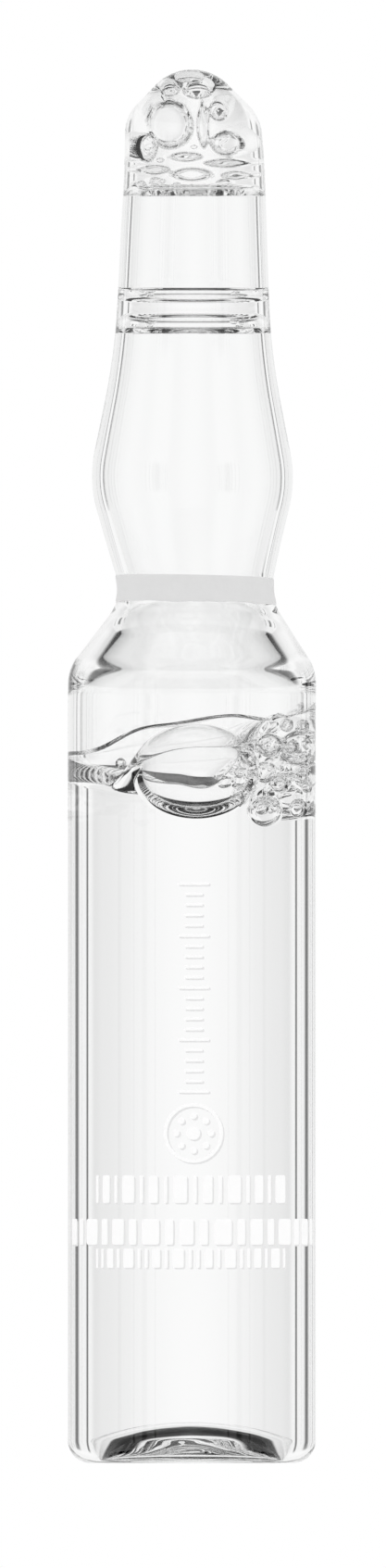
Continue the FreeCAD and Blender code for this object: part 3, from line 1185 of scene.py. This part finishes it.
@dataclass
class BreakRing:
    """The fired band round the constriction.

    ragged is the depth of its lower edge's waves. Each wave is how many there are round the band,
    its share of that depth and where it starts.
    """

    glass: Glass
    width: float = 1.16
    thickness: float = 0.05
    tilt: float = 1.2
    back_gap: float = 0.004
    back_drop: float = 0.2
    ragged: float = 0.02
    waves: tuple[tuple[float, float, float], ...] = ((5, 1.0, 1.0), (11, 0.6, 0.0), (23, 0.5, 2.0))
    face_rows: int = 25
    edge_power: int = 8

    def build(self) -> None:
        """Builds the band.

        Its section is carried round the constriction: s runs over the width from -1 to 1, the face
        stands off the glass by gap + thickness * (1 - s to the edge power), the back by the gap.
        The band's middle falls with the tilt to the right and by a drop towards the back, and its
        lower edge wanders.
        """
        glass = self.glass
        angle = full_turn(COLUMNS)
        share = np.sin(np.linspace(-1.0, 1.0, self.face_rows) * math.pi / 2)
        share = np.append(share, share[::-1])[:, None]
        row = np.arange(len(share))
        face = (row < self.face_rows)[:, None]
        body = self.thickness * (1 - share ** self.edge_power)
        stand = self.back_gap + np.where(face, body, 0.0)
        slope = math.tan(math.radians(self.tilt)) * glass.neck_diameter / 2 * np.cos(angle)
        slope = slope + self.back_drop * (1 + np.sin(angle)) / 2
        wander = self.ragged * sum(part * np.sin(count * angle + start)
                                   for count, part, start in self.waves)
        lower_part = (1 - share) / 2
        height = share * self.width / 2 - slope + wander * lower_part ** 2
        bend = np.arcsin(height / glass.neck_round)
        radius = glass.neck_centre - (glass.neck_round - stand) * np.cos(bend)
        level = glass.neck_height + (glass.neck_round - stand) * np.sin(bend)
        # The back rows take the lighter shade of the enamel, painted light for the shade behind
        # the glass.
        band = hoop(on_rings(radius, angle, level), (row >= self.face_rows - 1).astype(int))
        piece = make_piece("ring_of_enamel", band, [RING_ENAMEL, RING_BACK_PAINTED_LIGHT])
        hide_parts("break_ring")


@dataclass(frozen=True)
class Mark:
    """One plain shape of the print, laid flat: its middle and its half sizes.

    square is 2 for a round shape and more for one with tighter corners. hole is the share of the
    shape that is open.
    """

    x: float
    z: float
    half_width: float
    half_height: float
    square: float = 8.0
    hole: float = 0.0

    @classmethod
    def disc(cls, x: float, z: float, radius: float, hole: float = 0.0) -> "Mark":
        """A round shape, or a ring where it has a hole."""
        return cls(x, z, radius, radius, 2.0, hole)

    def surface(self, radius: float, lifts: tuple[float, float], finish: int) -> Surface:
        """Wraps the shape round the body, as a pad between two lifts off the glass.

        Its rings are shares of the outline (half width * c, half height * s), where c and s are
        the cosine and the sine to the power 2 / square, with their signs. A place x across lies at
        the angle x / radius from the front.

        Args:
            radius: the body's radius.
            lifts: how far the back and the face stand off the glass.
            finish: the number of its finish.

        Returns:
            The closed pad.
        """
        angle = full_turn(MARK_POINTS)
        cosine, sine = np.cos(angle), np.sin(angle)
        outline = np.stack([
            self.half_width * np.sign(cosine) * np.abs(cosine) ** (2 / self.square),
            self.half_height * np.sign(sine) * np.abs(sine) ** (2 / self.square)], axis=1)
        shares = np.linspace(self.hole, 1.0, MARK_RINGS)
        flat = np.append(shares, shares[::-1])[:, None, None] * outline
        stand = radius + np.repeat(lifts, MARK_RINGS)[:, None]
        turn = (self.x + flat[..., 0]) / radius
        grid = np.stack([stand * np.sin(turn), -stand * np.cos(turn), self.z + flat[..., 1]],
                        axis=-1)
        return hoop(grid, finish) if self.hole else from_pole_to_pole(grid, finish)


@dataclass(frozen=True)
class BarRow:
    """A row of plain upright bars round the front: its height, reach and the bars' sizes."""

    z: float
    reach: float
    half_height: float
    widths: tuple[float, ...]
    gap: float

    def marks(self) -> list[Mark]:
        """Sets out the bars from the left reach to the right one, with their widths in turn.

        Returns:
            The bars.
        """
        marks: list[Mark] = []
        left = -self.reach
        while left < self.reach:
            width = self.widths[len(marks) % len(self.widths)]
            marks.append(Mark(left + width / 2, self.z, width / 2, self.half_height))
            left += width + self.gap
        return marks


@dataclass
class PrintedMarks:
    """The fired print on the front: a plain scale, a round mark and three rows of bars.

    Each shape is white, over a grey copy that shows along its lower right edges: a painted drop
    shadow.
    """

    glass: Glass
    white_lifts: tuple[float, float] = (0.014, 0.03)
    # The grey copy under each shape is a painted drop shadow: how far it stands off the glass, and
    # how far it is shifted down and to the right.
    shadow_lifts: tuple[float, float] = (0.003, 0.012)
    grey_shift: tuple[float, float] = (0.07, -0.07)
    scale_low: float = 16.1
    scale_step: float = 0.45
    scale_steps: int = 20
    long_every: int = 5
    tick_reach: tuple[float, float] = (0.4, 0.68)
    tick_half_height: float = 0.065
    scale_middle: float = 0.07
    dial_height: float = 14.3
    dial_radius: float = 1.3
    dial_hole: float = 0.88
    disc_radius: float = 0.3
    dial_dots: int = 8
    dot_radius: float = 0.15
    dot_reach: float = 0.75
    rows: tuple[BarRow, ...] = (
        BarRow(11.87, 4.7, 0.6, (0.16, 0.42, 0.16, 0.6), 0.26),
        BarRow(10.02, 6.9, 0.56, (0.62, 0.36, 0.8, 0.36), 0.26),
        BarRow(8.88, 4.7, 0.42, (0.14, 0.14, 0.36, 0.14, 0.5), 0.2),
    )

    def shapes(self) -> list[Mark]:
        """Sets out the print.

        Returns:
            All its shapes.
        """
        middle = self.scale_middle
        marks = [Mark(middle, self.scale_low + step * self.scale_step,
                      self.tick_reach[step % self.long_every == 0], self.tick_half_height)
                 for step in range(self.scale_steps + 1)]
        height = self.dial_height
        marks.append(Mark.disc(middle, height, self.dial_radius, self.dial_hole))
        marks.append(Mark.disc(middle, height, self.disc_radius))
        for turn in full_turn(self.dial_dots):
            marks.append(Mark.disc(middle + self.dot_reach * math.sin(turn),
                                   height + self.dot_reach * math.cos(turn), self.dot_radius))
        return marks + [mark for row in self.rows for mark in row.marks()]

    def build(self) -> None:
        """Builds the print as thin pads on the glass, each white shape over a grey copy that
        paints its drop shadow.
        """
        radius = self.glass.body_radius
        right, up = self.grey_shift
        pads = []
        for mark in self.shapes():
            # The grey copy, shifted down and to the right under the white shape, paints the
            # shape's drop shadow.
            under = replace(mark, x=mark.x + right, z=mark.z + up)
            pads.append(mark.surface(radius, self.white_lifts, 0))
            pads.append(under.surface(radius, self.shadow_lifts, 1))
        make_piece("printed_marks", joined(pads), [WHITE_PRINT, PAINTED_DROP_SHADOW],
                   smooth=False)


@dataclass
class Studio:
    """The pale floor, the soft light and the camera.

    The pairs are places, in degrees, between which something rises or falls. A card is its place,
    its half width and its depth.
    """

    frame_height: float = 67.9
    frame_middle: tuple[float, float] = (0.055, 29.41)
    distance: float = 600.0
    sight: float = 10000.0
    floor_radii: tuple[float, float] = (5.0, 2500.0)
    floor_rings: int = 24
    floor_points: int = 64
    white: float = 0.96
    panel_rise: tuple[float, float] = (3.0, 26.0)
    panel_fall: tuple[float, float] = (32.5, 29.0)
    panel_depth: float = 0.16
    cards: tuple[tuple[float, float, float], ...] = ((34.3, 1.1, 0.85), (45.0, 4.0, 0.8))
    card_softness: float = 0.25
    card_reach: tuple[float, float] = (14.5, 9.5)
    flag_rise: tuple[float, float] = (28.0, 33.0)
    flag_fall: tuple[float, float] = (60.0, 68.0)
    flag_drop: float = 13.0

    @staticmethod
    def clear_rays(shader: Shader) -> Value:
        """1 for what the camera sees through or off a clear piece, otherwise 0.

        Light that has met a matt face on its way stays plain, also behind glass.

        Args:
            shader: the shader that needs it.

        Returns:
            The number.
        """
        path = shader.add("ShaderNodeLightPath")
        through, off, matt = (Value(shader, path.outputs[name]) for name in (
            "Is Transmission Ray", "Is Glossy Ray", "Diffuse Depth"))
        return (through.either(off) - matt).either(0.0)

    def build_floor(self) -> None:
        """Builds the floor: a wide disc, with rings that grow by the same factor each time.

        It keeps the ampoule's shadow. To the clear pieces it is as white as the studio is there.
        """
        radius = np.geomspace(*self.floor_radii, self.floor_rings)[:, None]
        points = on_rings(radius, full_turn(self.floor_points), 0.0).reshape(-1, 3) * MM
        quads = grid_quads(self.floor_rings, self.floor_points)[:, ::-1]
        middle = list(range(self.floor_points))
        mesh = bpy.data.meshes.new("floor")
        mesh.from_pydata(points.tolist(), [], [middle, *quads.tolist()])
        material, shader = new_material("white_floor")
        plain = shader.add("ShaderNodeBsdfDiffuse", {}, {"Color": WHITE})
        open_to_studio = shader.add("ShaderNodeBsdfTransparent")
        surface = shader.add("ShaderNodeMixShader", {}, {
            0: self.clear_rays(shader), 1: plain.outputs[0], 2: open_to_studio.outputs[0]})
        shader.add("ShaderNodeOutputMaterial", {}, {"Surface": surface.outputs[0]})
        mesh.materials.append(material)
        mesh.update()
        new_object("floor", mesh)

    def build_camera(self) -> None:
        """Sets the camera level with the ampoule, in front of it.

        It sees without perspective, as a very long lens does.
        """
        across, up = self.frame_middle
        camera = bpy.data.cameras.new("camera")
        camera.type = "ORTHO"
        camera.ortho_scale = self.frame_height * MM
        camera.clip_end = self.sight * MM
        holder = new_object("camera", camera)
        holder.location = (across * MM, -self.distance * MM, up * MM)
        holder.rotation_euler = (math.pi / 2, 0.0, 0.0)
        bpy.context.scene.camera = holder

    def through_glass(self, shader: Shader) -> Value:
        """How bright the studio is in each direction, as the clear pieces show it.

        It is a white room with four soft grey panels, thin dark cards between them that stand
        only as high as the level of the table, and dark rings of flags high up and, some degrees
        further from the level, low down.
        Azimuth is folded so that it runs from 0 at each wall's middle to 45 at each corner.

        Args:
            shader: the world's shader.

        Returns:
            The brightness.
        """
        way = shader.add("ShaderNodeSeparateXYZ", {}, {
            0: shader.add("ShaderNodeTexCoord").outputs["Generated"]})
        x, y, z = (Value(shader, way.outputs[axis]) for axis in range(3))
        azimuth = y.math("ARCTAN2", x, y) * math.degrees(1)
        corner = azimuth.math("PINGPONG", azimuth, 45.0)
        rise = z.math("ARCSINE", z) * math.degrees(1)
        level = shader.smooth_step(rise.absolute(), *self.card_reach)
        panel = (shader.smooth_step(corner, *self.panel_rise)
                 * shader.smooth_step(corner, *self.panel_fall) * self.panel_depth)
        cards = 0.0
        for place, half_width, depth in self.cards:
            off = (corner - place).absolute()
            edge = self.card_softness * half_width
            cards = shader.smooth_step(off, half_width, edge) * depth + cards
        tilt = rise.either(-self.flag_drop - rise)
        flags = (shader.smooth_step(tilt, *self.flag_rise)
                 * (1.0 - shader.smooth_step(tilt, *self.flag_fall)))
        return (1.0 - panel) * (1.0 - cards * level) * (1.0 - flags) * self.white

    def build_light(self) -> None:
        """Fills the world with soft light.

        What the camera sees directly, and what lights the matt faces, is plain white. What comes
        through or off the clear pieces shows the studio's panels, cards and flags. Light may pass
        many clear faces, because it meets dozens of them in the foam, and they stay sharp for the
        light that falls on the backs of the ring and the print.
        """
        world = bpy.data.worlds.new("studio")
        bpy.context.scene.world = world
        world.use_nodes = True
        shader = Shader(world.node_tree)
        clear = self.clear_rays(shader)
        strength = 1.0 - clear * (1.0 - self.through_glass(shader))
        background = shader.add("ShaderNodeBackground", {}, {
            "Color": WHITE, "Strength": strength})
        shader.add("ShaderNodeOutputWorld", {}, {"Surface": background.outputs[0]})
        settings = bpy.context.scene.cycles
        settings.max_bounces = 128
        settings.transmission_bounces = 96
        settings.glossy_bounces = 16
        settings.transparent_max_bounces = 16
        settings.blur_glossy = 0.0


def main() -> None:
    """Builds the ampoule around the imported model, and the studio round it."""
    logging.basicConfig(level=logging.INFO, format="%(name)s: %(message)s")
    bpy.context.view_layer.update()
    bpy.context.scene.view_settings.view_transform = "Standard"
    studio = Studio()
    studio.build_camera()
    studio.build_floor()
    studio.build_light()
    glass = Glass()
    filling = Filling(glass)
    filling.build_glass()
    filling.build_solution()
    filling.build_plug()
    filling.build_tip()
    BreakRing(glass).build()
    PrintedMarks(glass).build()
    bpy.context.view_layer.update()


if __name__ == "__main__":
    main()
